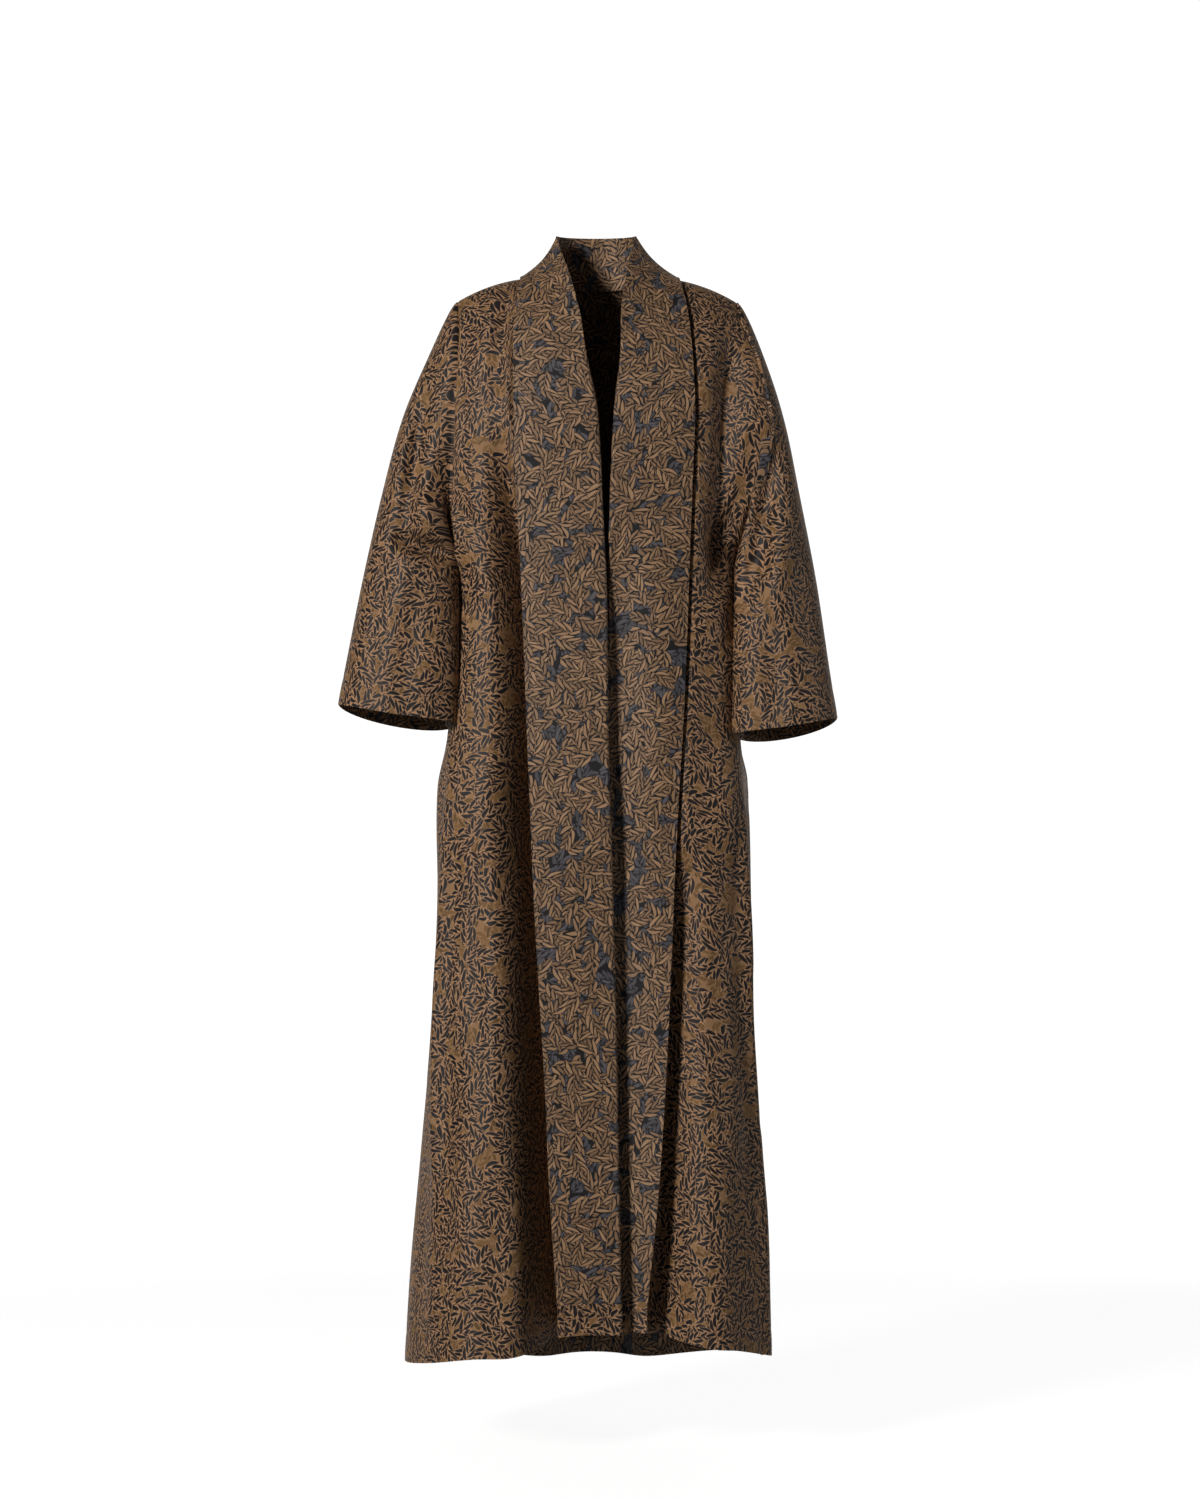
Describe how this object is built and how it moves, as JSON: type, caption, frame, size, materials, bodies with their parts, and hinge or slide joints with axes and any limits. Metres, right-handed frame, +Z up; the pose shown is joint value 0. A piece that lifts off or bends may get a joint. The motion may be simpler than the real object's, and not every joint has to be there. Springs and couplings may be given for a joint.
{
  "type": "abaya",
  "caption": "Ankle-length open-front abaya in a leaf-figured jacquard, worn hollow, with wide sleeves and fronts folded back from neck to hem.",
  "frame": {"origin": "middle of the shoulder line at the base of the neck, where the wearer's shoulders carry the cloth", "axes": "+Z up, -Y to the front, +X to the wearer's left"},
  "size_m": [0.654, 0.4026, 1.514],
  "materials": {
    "jacquard_face": "golden brown jacquard with navy leaves, soft satin sheen",
    "jacquard_reverse": "slate grey jacquard reverse with tan leaves, soft sheen"
  },
  "bodies": {
    "root": {"front_right_hem": "jacquard_face", "front_right_skirt": "jacquard_face", "front_right_waist": "jacquard_face", "front_right_chest": "jacquard_face", "front_right_shoulder": "jacquard_face", "front_left_hem": "jacquard_face", "front_left_skirt": "jacquard_face", "front_left_waist": "jacquard_face", "front_left_chest": "jacquard_face", "front_left_shoulder": "jacquard_face", "back_hem": "jacquard_face", "back_skirt": "jacquard_face", "back_waist": "jacquard_face", "back_chest": "jacquard_face", "back_shoulder": "jacquard_face", "sleeve_right_upper": "jacquard_face", "sleeve_right_elbow": "jacquard_face", "sleeve_right_cuff": "jacquard_face", "sleeve_left_upper": "jacquard_face", "sleeve_left_elbow": "jacquard_face", "sleeve_left_cuff": "jacquard_face", "lapel_hem_right": "jacquard_face", "lapel_hem_left": "jacquard_face", "back_hem_turning": "jacquard_face", "lapel_right": "jacquard_reverse", "lapel_left": "jacquard_reverse", "collar_back": "jacquard_reverse"}
  },
  "joints": []
}
